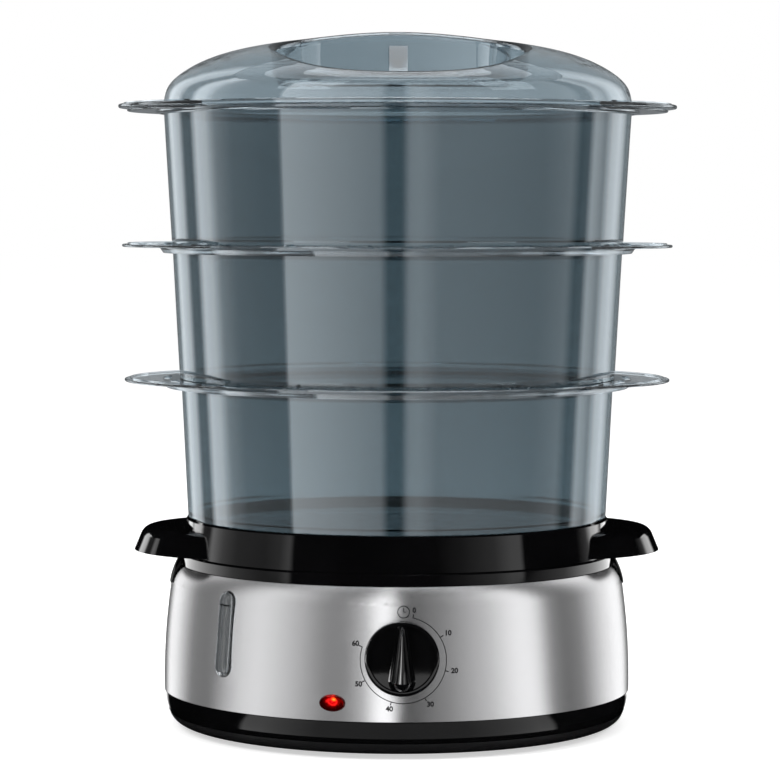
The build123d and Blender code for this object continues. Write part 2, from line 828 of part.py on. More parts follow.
live_wire = wire(
    [
        (-block_pitch, wire_start + 5, wire_level),
        (-block_pitch, 74, wire_level),
        (-60, 40, wire_level),
        (-60, -30, wire_level),
        (-10, -78, wire_level + 6),
        (-10, -88.5, 41),
        (-10, case_back + 1.4, knob_height + 6),
    ],
    9,
)
save(live_wire, "live_wire")

neutral_wire = wire(
    [
        (0, wire_start + 5, wire_level),
        (0, 62, wire_level),
        (-12, 44, wire_level),
        (-12, 31, wire_level),
    ],
    6,
)
save(neutral_wire, "neutral_wire")

earth_wire = wire(
    [
        (block_pitch, wire_start + 5, wire_level),
        (block_pitch, 70, wire_level),
        (44, 40, wire_level + 2),
        (44, 0, wire_level + 6),
        (38, -6, clamp_top - 2.6),
    ],
    4,
)
save(earth_wire, "earth_wire")

fuse_wire = wire(
    [
        (10, case_back + 1.4, knob_height + 6),
        (10, -89.5, 43),
        (6, -86, 20),
        (0, -64, 12),
        (0, -48, 12),
    ],
    5,
)
save(fuse_wire, "fuse_wire")

# ---------------------------------------------------------------- drip tray
handle_edge = 7.0
tray_inner_radius = tray_ring_radius - wall
ring_underside = tray_ledge - 2.5


def handle_form(inset):
    """A lobe that stands out on each side: flat on top, rounded over, its side flaring downwards."""
    with BuildPart() as form:
        with BuildSketch(Plane.XZ):
            Polygon(
                (0, handle_bottom),
                (handle_foot_radius - inset, handle_bottom),
                (handle_top_radius - inset, handle_top - inset),
                (0, handle_top - inset),
                align=None,
            )
        revolve(axis=Axis.Z)
        fillet(form.faces().sort_by(Axis.Z)[-1].edges(), handle_edge - inset)
    return Pos(handle_middle, 0, 0) * form.part


with BuildPart() as drip_tray:
    add(handle_form(0))
    add(handle_form(wall), mode=Mode.SUBTRACT)
    mirror(about=Plane.YZ)
    with BuildSketch(Plane.XY.offset(handle_bottom - 5)):
        Circle(tray_ring_radius - 0.6)
    extrude(amount=40, mode=Mode.SUBTRACT)
    with BuildSketch(Plane.XZ):
        with BuildLine():
            Polyline(
                (tray_foot_radius, tray_bottom),
                (tray_ring_radius, tray_top - 1.0),
                (tray_ring_radius - 0.7, tray_top),
                (tray_inner_radius + 0.4, tray_top),
                (tray_inner_radius, tray_top - 0.6),
                (tray_inner_radius - 0.1, tray_ledge),
                (tray_well_radius, tray_ledge - 0.4),
                (tray_well_radius - 0.6, tray_floor + 3),
                (tray_well_radius - 3.6, tray_floor),
                (0, tray_floor - 1),
                (0, tray_floor - wall - 1),
                (tray_well_radius - 3, tray_floor - wall),
                (tray_well_radius + wall - 0.6, tray_floor + 1),
                (tray_well_radius + wall, ring_underside),
                (tray_inner_radius, ring_underside),
                (tray_foot_radius - wall, tray_bottom),
                close=True,
            )
        make_face()
    revolve(axis=Axis.Z)
    # raised steam ports, open right through, so that juice stays in the tray
    with BuildSketch(Plane.XY.offset(tray_floor - wall)):
        with PolarLocations(port_circle, 6, start_angle=30):
            SlotOverall(4 * port_radius, 2 * port_radius, rotation=90)
        Circle(port_radius + 6)
    extrude(amount=wall + port_height)
    with BuildSketch(Plane.XY.offset(tray_floor - 2 * wall)):
        with PolarLocations(port_circle, 6, start_angle=30):
            SlotOverall(4 * port_radius - 2 * wall, 2 * (port_radius - wall), rotation=90)
        Circle(port_radius + 6 - wall)
    extrude(amount=3 * wall + port_height, mode=Mode.SUBTRACT)
save(drip_tray, "drip_tray")

# ---------------------------------------------------------------- bowls
lip_slope = 0.4  # how far the lip's outside leans in for each millimetre down
ledge_width = 3.5
ledge_height = 1.6
spacer_radius = 126.2  # small ribs on a rim, outside the foot of the bowl above
spacer_length = 3.6
spacer_height = 0.7
spacer_pairs = 18
spacer_turn = 9.4
spacer_spread = 2.5  # degrees from a pair's middle to each of its two ribs


def ear(side, tip, bottom, thickness, inner_radius, bead_radius):
    """A broad crescent beside a rim, rounded along its edge, with any bead outside bead_radius."""
    middle = (side * (tip - ear_radius), 0)
    with BuildPart() as crescent:
        with BuildSketch(Plane.XY.offset(bottom)):
            with Locations(middle):
                Circle(ear_radius)
        extrude(amount=thickness)
        fillet(crescent.edges(), 0.45 * thickness)
        if bead_radius:
            with BuildSketch(Plane.XY.offset(bottom + thickness)):
                with Locations(middle):
                    Circle(ear_radius - 3)
                    Circle(ear_radius - 4.6, mode=Mode.SUBTRACT)
                Circle(bead_radius, mode=Mode.SUBTRACT)
            extrude(amount=0.8)
        with BuildSketch(Plane.XY.offset(bottom - 1)):
            Circle(inner_radius)
        extrude(amount=thickness + 3, mode=Mode.SUBTRACT)
    return crescent.part


def bowl(index):
    """Bowl wall: a spigot that drops into the rim below, a slightly flared wall, a rim flange."""
    seat = bowl_seat[index] + seat_gap
    rim = bowl_rim[index]
    foot = bowl_foot_radius[index]
    top = bowl_top_radius[index]
    lip = bowl_lip_radius[index]
    lip_bottom = bowl_lip_bottom[index]
    spigot = bowl_spigot_radius[index]
    covered = index == 2  # the lid's flange lies on the top bowl's rim
    with BuildPart() as shell:
        with BuildSketch(Plane.XZ):
            with BuildLine():
                Polyline(
                    (spigot - bowl_wall - ledge_width, seat - spigot_depth),
                    (spigot, seat - spigot_depth),
                    (spigot, seat),
                    (foot, seat),
                    (foot + 0.2, seat + 3),
                    (top, rim - flange_plate - 1.2),
                    (top + 1.2, rim - flange_plate),
                    (lip - bowl_wall - 0.2, rim - flange_plate),
                    (lip - bowl_wall - lip_slope * (rim - lip_bottom), lip_bottom),
                    (lip - lip_slope * (rim - lip_bottom), lip_bottom),
                    (lip, rim - flange_plate),
                    (lip, rim - 0.6),
                    (lip - 0.6, rim),
                    (top - bowl_wall + 0.6, rim),
                    (top - bowl_wall, rim - 0.6),
                    (foot + 0.2 - bowl_wall, seat + 3),
                    (spigot - bowl_wall, seat + bowl_wall),
                    (spigot - bowl_wall, seat - spigot_depth + ledge_height),
                    (spigot - bowl_wall - ledge_width, seat - spigot_depth + ledge_height),
                    close=True,
                )
            make_face()
        revolve(axis=Axis.Z)
        bead_radius = None if covered else lip + 1
        for side in (-1, 1):
            add(ear(side, bowl_ear_tip[index], rim - ear_plate, ear_plate, top, bead_radius))
        if not covered:
            for start in (spacer_turn - spacer_spread, spacer_turn + spacer_spread):
                with BuildSketch(Plane.XY.offset(rim)):
                    with PolarLocations(spacer_radius, spacer_pairs, start_angle=start - 90):
                        Rectangle(spacer_length, 1)
                extrude(amount=spacer_height)
    return shell


def bowl_floor(index):
    """Perforated floor that lies on the ledge at the foot of a bowl."""
    bottom = bowl_seat[index] + seat_gap - spigot_depth + ledge_height
    radius = bowl_spigot_radius[index] - bowl_wall - 0.35
    with BuildPart() as grid:
        with BuildSketch(Plane.XY.offset(bottom)):
            Circle(radius)
            for ring in range(1, floor_rings + 1):
                with PolarLocations(ring * (radius - 8) / floor_rings, 6 * ring):
                    Circle(floor_hole_radius, mode=Mode.SUBTRACT)
        extrude(amount=floor_plate)
    return grid


for number in range(3):
    save(bowl(number), f"bowl_{number + 1}")
    save(bowl_floor(number), f"bowl_{number + 1}_floor")

# ---------------------------------------------------------------- lid
scoop_corner = 12.0
scoop_floor_edge = 4.0
rib_depth = 1.0
rib_top = 372.0
vent_length = 9.0
vent_width = 2.6
vent_offset = 7.5


def scoop(grow):
    """Finger scoop at the front: a flared pocket with a flat side along the ridge."""
    with BuildPart() as pocket:
        with BuildSketch(Plane.XY.offset(scoop_floor - grow)) as plan:
            with Locations((0, -scoop_centre)):
                Circle(scoop_radius + grow)
            with Locations((0, grow - ridge_half)):
                Rectangle(200, 200, align=(Align.CENTER, Align.MAX), mode=Mode.INTERSECT)
            fillet(plan.vertices().sort_by(Axis.Y)[-2:], scoop_corner)
        extrude(amount=40, taper=-scoop_flare)
        fillet(pocket.faces().sort_by(Axis.Z)[0].edges(), scoop_floor_edge + grow)
        # upright rib in the middle of the ridge's side
        with BuildSketch(Plane.XY.offset(scoop_floor - grow)):
            with Locations((0, grow - ridge_half)):
                Rectangle(rib_width - 2 * grow, 2 * rib_depth)
        extrude(amount=rib_top - scoop_floor, mode=Mode.SUBTRACT)
    return pocket.part


with BuildPart() as lid_cavity:
    with BuildSketch(Plane.XZ):
        with BuildLine():
            inside = Spline(
                (0, lid_top - wall),
                (60, 372.4),
                (98.9, 364.2),
                (115.3, 356.4),
                (123.0, 349.4),
                (125.4, lid_flange_top),
                tangents=((1, 0), (0.1, -1)),
            )
            Polyline(inside @ 1, (123.2, lid_bottom), (0, lid_bottom), inside @ 0)
        make_face()
    revolve(axis=Axis.Z)
    add(scoop(wall), mode=Mode.SUBTRACT)
    add(mirror(scoop(wall), about=Plane.XZ, mode=Mode.PRIVATE), mode=Mode.SUBTRACT)

with BuildPart() as lid:
    with BuildSketch(Plane.XZ):
        with BuildLine():
            outside = Spline(
                (0, lid_top),
                (60.5, 374.6),
                (100, 366.3),
                (117, 358.0),
                (125.2, 350.4),
                (128, lid_flange_top),
                tangents=((1, 0), (0.1, -1)),
            )
            Polyline(
                outside @ 1,
                (lid_flange_radius - 0.6, lid_flange_top),
                (lid_flange_radius, lid_flange_top - 0.6),
                (lid_flange_radius, lid_bottom),
                (0, lid_bottom),
                outside @ 0,
            )
        make_face()
    revolve(axis=Axis.Z)
    for side in (-1, 1):
        add(ear(side, lid_ear_tip, lid_bottom, lid_ear_plate, 127, lid_flange_radius + 1))
    add(scoop(0), mode=Mode.SUBTRACT)
    add(mirror(scoop(0), about=Plane.XZ, mode=Mode.PRIVATE), mode=Mode.SUBTRACT)
    # rounded top of the ridge, where the fingers hold it
    ridge = [
        edge
        for edge in lid.edges()
        if edge.center().Z > lid_top - 5.5 and 10 < abs(edge.center().Y) < 15
    ]
    fillet(ridge, ridge_round)
    add(lid_cavity.part, mode=Mode.SUBTRACT)
    # steam vents through the top of the ridge
    with BuildSketch(Plane.XY.offset(lid_top - 12)):
        with Locations((0, -vent_offset), (0, vent_offset)):
            SlotOverall(vent_length, vent_width)
    extrude(amount=20, mode=Mode.SUBTRACT)
    # skirt that drops into the top bowl
    with BuildSketch(Plane.XY.offset(lid_bottom - 5)):
        Circle(lid_skirt_radius)
        Circle(lid_skirt_radius - bowl_wall, mode=Mode.SUBTRACT)
    extrude(amount=6)
save(lid, "lid")
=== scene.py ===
import bpy
import bmesh
import json
from math import asin, cos, pi, radians, sin
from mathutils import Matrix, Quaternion, Vector
from mathutils.bvhtree import BVHTree


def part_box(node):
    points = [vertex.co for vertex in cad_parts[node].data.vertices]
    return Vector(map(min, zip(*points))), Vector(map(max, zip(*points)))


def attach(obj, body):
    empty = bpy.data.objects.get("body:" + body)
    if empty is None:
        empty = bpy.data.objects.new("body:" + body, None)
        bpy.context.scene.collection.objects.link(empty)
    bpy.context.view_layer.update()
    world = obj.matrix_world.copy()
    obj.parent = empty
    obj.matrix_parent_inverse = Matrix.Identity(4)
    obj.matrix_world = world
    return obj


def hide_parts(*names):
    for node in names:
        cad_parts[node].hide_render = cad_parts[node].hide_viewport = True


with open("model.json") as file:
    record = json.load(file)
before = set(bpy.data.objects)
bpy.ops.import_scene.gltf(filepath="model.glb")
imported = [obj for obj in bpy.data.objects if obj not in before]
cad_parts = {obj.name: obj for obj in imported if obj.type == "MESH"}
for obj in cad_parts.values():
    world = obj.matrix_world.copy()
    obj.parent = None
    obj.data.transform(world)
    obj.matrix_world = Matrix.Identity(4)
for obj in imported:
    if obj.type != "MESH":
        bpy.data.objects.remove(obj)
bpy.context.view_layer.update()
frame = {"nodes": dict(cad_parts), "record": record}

MM = 0.001

# ---------------------------------------------------------------- the print on the steel and the gauge
DIAL_X = 0.8 * MM
DIAL_Z = 52.4 * MM
SCALE_RADIUS = 22.2 * MM
SCALE_START = 12.6  # degrees clockwise from the top, at 0 minutes
SCALE_STEP = 45.9  # degrees from one ten-minute mark to the next
SCALE_MARKS = 7
SCALE_END = SCALE_START + SCALE_STEP * (SCALE_MARKS - 1)
LINE_WIDTH = 0.4 * MM
TICK_WIDTH = 0.5 * MM
TICK_START = 0.2 * MM  # out from the middle of the scale's line
TICK_END = 1.9 * MM
NUMERAL_HEIGHT = 3.6 * MM
NUMERAL_WEIGHT = 0.14 * MM  # how far the font's outline is let out
# X and Z of each number's centre from the dial's centre, in millimetres
NUMERAL_PLACES = (
    (5.6, 25.5), (23, 13.7), (26.4, -5.7), (13.9, -22.7), (-7.2, -25), (-23, -12.4), (-24.6, 8.4),
)
CLOCK_X = 0.1 * MM  # from the dial's centre
CLOCK_Z = 24.7 * MM
CLOCK_RADIUS = 3.0 * MM
LONG_HAND = 2 * MM
SHORT_HAND = 1.3 * MM
LEVEL_LEFT = -94.5 * MM
LEVEL_RIGHT = -89.5 * MM
LEVEL_HEIGHT = 75.8 * MM
LEVEL_WIDTH = 0.8 * MM
PRINT_THICKNESS = 0.06 * MM
PRINT_SHARE = 0.8  # of the thickness that the ink itself fills
IN_FRONT = -0.2  # Y from which the print is laid on its carrier


# ---------------------------------------------------------------- node helpers
class Nodes:
    """An emptied node tree, with short names for what the finishes and the studio share."""

    def __init__(self, owner):
        owner.use_nodes = True
        self.tree = owner.node_tree
        self.tree.nodes.clear()

    def add(self, kind):
        return self.tree.nodes.new(kind)

    def link(self, source, target):
        self.tree.links.new(source, target)

    def feed(self, value, target):
        """Links a socket to the target, or sets the target to a plain value."""
        if isinstance(value, bpy.types.NodeSocket):
            self.link(value, target)
        else:
            target.default_value = value

    def position(self):
        """Position on the object in metres."""
        return self.add("ShaderNodeTexCoord").outputs["Object"]

    def split(self, vector):
        parts = self.add("ShaderNodeSeparateXYZ")
        self.link(vector, parts.inputs[0])
        return parts.outputs["X"], parts.outputs["Y"], parts.outputs["Z"]

    def math(self, operation, first, second=None):
        node = self.add("ShaderNodeMath")
        node.operation = operation
        for socket, value in zip(node.inputs, (first, second)):
            if value is not None:
                self.feed(value, socket)
        return node.outputs[0]

    def distance(self, first, second):
        """How far off an axis, from the two offsets across it."""
        squares = [self.math("MULTIPLY", offset, offset) for offset in (first, second)]
        return self.math("SQRT", self.math("ADD", *squares))

    def spread(self, source, low, high, start=0.0, end=1.0):
        """Maps a value from start..end to low..high."""
        ranges = self.add("ShaderNodeMapRange")
        ranges.inputs["From Min"].default_value = start
        ranges.inputs["From Max"].default_value = end
        ranges.inputs["To Min"].default_value = low
        ranges.inputs["To Max"].default_value = high
        self.link(source, ranges.inputs["Value"])
        return ranges.outputs["Result"]

    def ramp(self, source, stops):
        ramp = self.add("ShaderNodeValToRGB")
        elements = ramp.color_ramp.elements
        while len(elements) < len(stops):
            elements.new(0.5)
        for element, (place, colour) in zip(elements, stops):
            element.position = place
            element.color = (*colour, 1)
        self.link(source, ramp.inputs["Fac"])
        return ramp.outputs["Color"]

    def mix_colours(self, share, first, second, how="MIX"):
        blend = self.add("ShaderNodeMix")
        blend.data_type = "RGBA"
        blend.blend_type = how
        for socket, value in (("Factor", share), ("A", first), ("B", second)):
            self.feed(value, blend.inputs[socket])
        return blend.outputs["Result"]

    def mix_shaders(self, share, first, second):
        mix = self.add("ShaderNodeMixShader")
        self.link(share, mix.inputs[0])
        self.link(first.outputs[0], mix.inputs[1])
        self.link(second.outputs[0], mix.inputs[2])
        return mix.outputs[0]

    def add_shaders(self, first, second):
        both = self.add("ShaderNodeAddShader")
        self.link(first.outputs[0], both.inputs[0])
        self.link(second.outputs[0], both.inputs[1])
        return both.outputs[0]

    def seen_share(self):
        """1 for rays from the eye, and from metal and glass, 0 for the rays that light the object."""
        path = self.add("ShaderNodeLightPath")
        share = self.math("ADD", path.outputs["Is Camera Ray"], path.outputs["Is Glossy Ray"])
        share = self.math("ADD", share, path.outputs["Is Transmission Ray"])
        share.node.use_clamp = True
        return share


class Shader(Nodes):
    """The node tree of a finish, with its Principled shader."""

    def __init__(self, name):
        self.material = bpy.data.materials.new(name)
        super().__init__(self.material)
        self.output = self.add("ShaderNodeOutputMaterial")
        self.bsdf = self.add("ShaderNodeBsdfPrincipled")
        self.link(self.bsdf.outputs[0], self.output.inputs["Surface"])

    def set(self, **values):
        for name, value in values.items():
            self.bsdf.inputs[name.replace("_", " ")].default_value = value

    def stretched(self, scale):
        mapping = self.add("ShaderNodeMapping")
        mapping.inputs["Scale"].default_value = scale
        self.link(self.position(), mapping.inputs["Vector"])
        return mapping.outputs["Vector"]

    def noise(self, scale, detail=2.0, stretch=(1, 1, 1), vector=None):
        noise = self.add("ShaderNodeTexNoise")
        noise.inputs["Scale"].default_value = scale
        noise.inputs["Detail"].default_value = detail
        self.link(vector or self.stretched(stretch), noise.inputs["Vector"])
        return noise.outputs["Fac"]

    def bump(self, height, strength, distance):
        bump = self.add("ShaderNodeBump")
        bump.inputs["Strength"].default_value = strength
        bump.inputs["Distance"].default_value = distance
        self.link(height, bump.inputs["Height"])
        self.link(bump.outputs["Normal"], self.bsdf.inputs["Normal"])

    def colour(self, source):
        self.link(source, self.bsdf.inputs["Base Color"])

    def roughness(self, source):
        self.link(source, self.bsdf.inputs["Roughness"])


def shaded(colour, share):
    return tuple(c * share for c in colour)


# ---------------------------------------------------------------- finishes, one for each material slot
def clear_plastic(name, tint, roughness=0.02, rim_radius=None, rim_painted_light_tint=None):
    """Clear moulded plastic with a smoky tint, faint flow marks and fine wear.

    Outside rim_radius the rim and the ears are painted in a paler tint: painted light, for the light they
    catch.
    """
    s = Shader(name)
    s.set(Transmission_Weight=1.0, IOR=1.49, Roughness=roughness)
    flow = s.noise(9, 2, (1, 1, 0.35))
    colour = s.ramp(flow, [(0.3, shaded(tint, 0.92)), (0.7, tint)])
    # painted light: past rim_radius the tint turns paler, standing in for the light the rim and ears catch
    if rim_radius:
        x, y, _ = s.split(s.position())
        share = s.spread(s.distance(x, y), 0, 1, rim_radius, rim_radius + 1 * MM)
        colour = s.mix_colours(share, colour, (*rim_painted_light_tint, 1))
    s.colour(colour)
    s.roughness(s.spread(flow, roughness * 0.6, roughness * 1.8, 0.35, 0.75))
    # lamps reach what stands inside
    shadow = s.add("ShaderNodeBsdfTransparent")
    shadow.inputs["Color"].default_value = (*tint, 1)
    in_shadow = s.add("ShaderNodeLightPath").outputs["Is Shadow Ray"]
    s.link(s.mix_shaders(in_shadow, s.bsdf, shadow), s.output.inputs["Surface"])
    return s.material


def gloss(name, colour, roughness=0.08, wave=0.02):
    """Glossy moulding: deep colour, slight orange peel, faint smudges in the shine."""
    s = Shader(name)
    s.set(IOR=1.5)
    shade = s.noise(25, 3)
    lighter = tuple(c * 1.6 + 0.001 for c in colour)
    s.colour(s.ramp(shade, [(0.3, colour), (0.8, lighter)]))
    smudge = s.noise(18, 4)
    s.roughness(s.spread(smudge, roughness * 0.7, roughness * 1.8, 0.35, 0.8))
    s.bump(s.noise(420, 1), wave, 0.2 * MM)
    return s.material


def matte(name, colour, roughness=0.5, grain=1400, depth=0.25):
    """Moulded or rubbery surface with a fine grain."""
    s = Shader(name)
    shade = s.noise(40, 4)
    s.colour(s.ramp(shade, [(0.3, shaded(colour, 0.82)), (0.7, colour)]))
    s.roughness(s.spread(s.noise(90, 3), roughness - 0.08, roughness + 0.1, 0.3, 0.7))
    s.bump(s.noise(grain, 2), depth, 0.15 * MM)
    return s.material


def metal(name, colour, roughness=0.3, brush=(900, 900, 900), depth=0.1):
    """Plain metal, its grain drawn out where brush is lower."""
    s = Shader(name)
    s.set(Metallic=1.0)
    grain = s.noise(1, 3, brush)
    s.colour(s.ramp(grain, [(0.3, shaded(colour, 0.85)), (0.7, colour)]))
    s.roughness(s.spread(grain, roughness * 0.8, roughness * 1.25, 0.3, 0.7))
    s.bump(grain, depth, 0.05 * MM)
    return s.material


def brushed_steel(name):
    """Steel brushed round the barrel: fine level lines, highlights drawn out upright."""
    s = Shader(name)
    s.set(Metallic=1.0, Anisotropic=0.8)
    x, y, z = s.split(s.position())
    along = s.add("ShaderNodeCombineXYZ")
    s.link(s.math("MULTIPLY", s.math("ARCTAN2", x, y), 3.0), along.inputs["X"])
    s.link(s.math("MULTIPLY", z, 3600), along.inputs["Z"])
    fine = s.noise(1.0, 1, vector=along.outputs[0])
    s.colour(s.ramp(fine, [(0.25, (0.66, 0.66, 0.67)), (0.75, (0.68, 0.68, 0.69))]))
    s.roughness(s.spread(fine, 0.255, 0.27, 0.3, 0.7))
    upright = s.add("ShaderNodeCombineXYZ")
    upright.inputs["Z"].default_value = 1.0
    s.link(upright.outputs[0], s.bsdf.inputs["Tangent"])
    return s.material


# the lit lamp's glow in its lens, as (share of its radius, colour)
RED_SWIRL = (
    (0.0, (0.8, 0.015, 0.035)), (0.16, (0.62, 0.01, 0.02)), (0.28, (0.4, 0.0, 0.0)),
    (0.42, (0.75, 0.015, 0.015)), (0.6, (0.62, 0.008, 0.008)), (0.72, (0.1, 0.0, 0.0)),
    (1.0, (0.012, 0.0, 0.0)),
)
AMBER_SPOT = ((0.0, (0.9, 0.55, 0.1)), (0.5, (0.7, 0.2, 0.01)), (1.0, (0.0, 0.0, 0.0)))
SWIRL_SQUASH = 1.3
SWIRL_WANDER = 0.14


def lens(name, colour, roughness):
    """Lens with a pattern of small cells. The lit lamp spreads in it as a swirl round its middle."""
    s = Shader(name)
    s.set(Transmission_Weight=1.0, IOR=1.49)
    pattern = s.add("ShaderNodeTexVoronoi")
    pattern.inputs["Scale"].default_value = 340
    s.link(s.position(), pattern.inputs["Vector"])
    cells = pattern.outputs["Distance"]
    s.colour(s.ramp(cells, [(0.0, colour), (1.0, shaded(colour, 0.6))]))
    s.roughness(s.spread(cells, roughness, roughness * 2))
    s.bump(cells, 0.25, 0.3 * MM)
    low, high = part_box("lamp_lens")
    middle = (low + high) / 2
    wander = s.spread(s.noise(420, 2), -SWIRL_WANDER, SWIRL_WANDER, 0.3, 0.7)

    def round_glow(x, z, radius, stops):
        """Glow round a point, in millimetres from the middle of the lens."""
        across, _, up = s.split(s.position())
        aside = s.math("SUBTRACT", across, middle.x + x * MM)
        above = s.math("MULTIPLY", s.math("SUBTRACT", up, middle.z + z * MM), SWIRL_SQUASH)
        share = s.math("DIVIDE", s.distance(aside, above), radius * MM)
        return s.ramp(s.math("ADD", share, wander), stops)

    red = round_glow(-1.9, 0.9, 4.4, RED_SWIRL)
    amber = round_glow(-1.1, 2.1, 1.5, AMBER_SPOT)
    s.link(s.mix_colours(1.0, red, amber, "ADD"), s.bsdf.inputs["Emission Color"])
    s.set(Emission_Strength=1.0)
    return s.material


def glow(name, inner, outer, strength):
    """A lit filament seen through the lens."""
    s = Shader(name)
    s.set(Roughness=0.4)
    swirl = s.noise(260, 3)
    colour = s.ramp(swirl, [(0.35, outer), (0.62, inner)])
    s.colour(colour)
    s.link(colour, s.bsdf.inputs["Emission Color"])
    s.set(Emission_Strength=strength)
    return s.material


BOWL_TINT = (0.19, 0.25, 0.28)
LID_TINT = (0.45, 0.52, 0.56)
# paler tint painted on the rims and ears: painted light, not the plastic's own colour
RIM_PAINTED_LIGHT_TINT = (0.6, 0.66, 0.7)
FINISH = {
    "clear_plastic": clear_plastic("clear_plastic", BOWL_TINT),
    "gauge_clear": clear_plastic("gauge_clear", (0.8, 0.81, 0.82), 0.15),
    "black_gloss": gloss("black_gloss", (0.0014, 0.0014, 0.0016), 0.05, 0.01),
    "black_knob": gloss("black_knob", (0.0016, 0.0016, 0.0018), 0.035, 0.006),
    "black_matte": matte("black_matte", (0.012, 0.012, 0.013), 0.45),
    "steel": brushed_steel("steel"),
    "tank_grey": matte("tank_grey", (0.16, 0.165, 0.17), 0.4),
    "ring_white": matte("ring_white", (0.78, 0.78, 0.76), 0.4),
    "red_lens": lens("red_lens", (0.12, 0.001, 0.0005), 0.05),
    "neon": glow("neon", (1.0, 0.6, 0.15), (0.6, 0.03, 0.01), 1.5),
    "rubber_black": matte("rubber_black", (0.02, 0.02, 0.02), 0.7, 2200, 0.35),
    "silicone": matte("silicone", (0.75, 0.72, 0.68), 0.5),
    "plate_metal": metal("plate_metal", (0.72, 0.72, 0.71), 0.35, (700, 700, 40)),
    "sheath": metal("sheath", (0.42, 0.4, 0.38), 0.4),
    "zinc": metal("zinc", (0.68, 0.68, 0.66), 0.3),
    "contact_brass": metal("contact_brass", (0.8, 0.6, 0.25), 0.25),
    "case_cream": matte("case_cream", (0.7, 0.66, 0.55), 0.5),
    "fuse_white": matte("fuse_white", (0.85, 0.84, 0.8), 0.7, 900, 0.5),
    "wire_brown": matte("wire_brown", (0.2, 0.09, 0.04), 0.45),
    "wire_blue": matte("wire_blue", (0.05, 0.15, 0.45), 0.45),
    "wire_green": matte("wire_green", (0.25, 0.4, 0.06), 0.45),
}

# node, tint, and the radius outside which its rim and ears are painted paler, as painted light
CLEAR_FORMS = (
    ("bowl_1", BOWL_TINT, 124.5 * MM),
    ("bowl_2", BOWL_TINT, 126.3 * MM),
    ("bowl_3", BOWL_TINT, 128.6 * MM),
    ("lid", LID_TINT, 128.6 * MM),
)


def dress(node, finish):
    materials = frame["nodes"][node].data.materials
    materials.clear()
    materials.append(finish)


for entry in frame["record"]["subparts"]:
    dress(entry["node"], FINISH[entry["material_slot"]])
for name, tint, rim_radius in CLEAR_FORMS:
    dress(name, clear_plastic(name + "_plastic", tint, 0.02, rim_radius, RIM_PAINTED_LIGHT_TINT))


# ---------------------------------------------------------------- printed scale on the steel
def stand(name, data):
    """A new object in the scene."""
    made = bpy.data.objects.new(name, data)
    bpy.context.scene.collection.objects.link(made)
    return made


def surface_of(node):
    mesh = frame["nodes"][node].data
    return BVHTree.FromPolygons([v.co for v in mesh.vertices], [p.vertices for p in mesh.polygons])


steel_surface = surface_of("steel_wrap")
ink = matte("ink", (0.01, 0.01, 0.012), 0.6)


def printed(name, flat, carrier=steel_surface):
    """Lays a flat mesh, drawn in X and Z as seen from the front, on its carrier as a thin print."""
    surface = flat.copy()
    front = Vector((0, 1, 0))
    for vertex in surface.verts:
        start = Vector((vertex.co.x, IN_FRONT, vertex.co.z))
        hit = carrier.ray_cast(start, front)[0]
        vertex.co = hit - front * PRINT_THICKNESS
    base = surface.faces[:]
    made = bmesh.ops.extrude_face_region(surface, geom=base)
    raised = [v for v in made["geom"] if isinstance(v, bmesh.types.BMVert)]
    bmesh.ops.translate(surface, verts=raised, vec=front * PRINT_THICKNESS * PRINT_SHARE)
    bmesh.ops.recalc_face_normals(surface, faces=surface.faces)
    mesh = bpy.data.meshes.new(name)
    surface.to_mesh(mesh)
    surface.free()
    flat.free()
    mesh.materials.append(ink)
    piece = stand(name, mesh)
    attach(piece, "base")


def on_dial(angle, radius):
    """X and Z of a point round the knob, angle in degrees clockwise from the top."""
    return Vector((DIAL_X + radius * sin(radians(angle)), 0, DIAL_Z + radius * cos(radians(angle))))


def strip(surface, pairs):
    """A band of faces between pairs of points."""
    rows = [[surface.verts.new(point) for point in pair] for pair in pairs]
    for (a, b), (c, d) in zip(rows, rows[1:]):
        surface.faces.new((a, b, d, c))


def arc_band(surface, start, end, radius, width, centre, steps=90):
    """A narrow band along an arc, from start to end degrees clockwise from the top."""
    pairs = []
    for step in range(steps + 1):
        angle = radians(start + (end - start) * step / steps)
        direction = Vector((sin(angle), 0, cos(angle)))
        pairs.append((centre + direction * (radius - width / 2), centre + direction * (radius + width / 2)))
    strip(surface, pairs)


def stroke(surface, start, end, width):
    """A straight line of ink, cut into short lengths so that it follows the barrel."""
    along = end - start
    side = Vector((along.z, 0, -along.x)).normalized() * width / 2
    count = max(1, round(along.length / (1.5 * MM)))
    points = [start + along * step / count for step in range(count + 1)]
    strip(surface, [(point - side, point + side) for point in points])


def numeral(surface, text, centre, height):
    """Adds the outline of a number, upright, centred on a point."""
    curve = bpy.data.curves.new("numeral", "FONT")
    curve.body = text
    curve.size = height
    curve.align_x = "CENTER"
    curve.align_y = "CENTER"
    curve.resolution_u = 6
    curve.offset = NUMERAL_WEIGHT
    holder = stand("numeral", curve)
    mesh = bpy.data.meshes.new_from_object(holder.evaluated_get(bpy.context.evaluated_depsgraph_get()))
    bpy.data.objects.remove(holder)
    letters = bmesh.new()
    letters.from_mesh(mesh)
    bpy.data.meshes.remove(mesh)
    bmesh.ops.remove_doubles(letters, verts=letters.verts, dist=1e-6)
    bmesh.ops.triangulate(letters, faces=letters.faces)
    places = {v: surface.verts.new((v.co.x + centre.x, 0, v.co.y + centre.z)) for v in letters.verts}
    for face in letters.faces:
        surface.faces.new([places[v] for v in face.verts])
    letters.free()


scale_line = bmesh.new()
arc_band(scale_line, SCALE_START, SCALE_END, SCALE_RADIUS, LINE_WIDTH, Vector((DIAL_X, 0, DIAL_Z)))
for mark in range(SCALE_MARKS):
    angle = SCALE_START + SCALE_STEP * mark
    tick_start = on_dial(angle, SCALE_RADIUS + TICK_START)
    stroke(scale_line, tick_start, on_dial(angle, SCALE_RADIUS + TICK_END), TICK_WIDTH)
printed("dial_scale", scale_line)

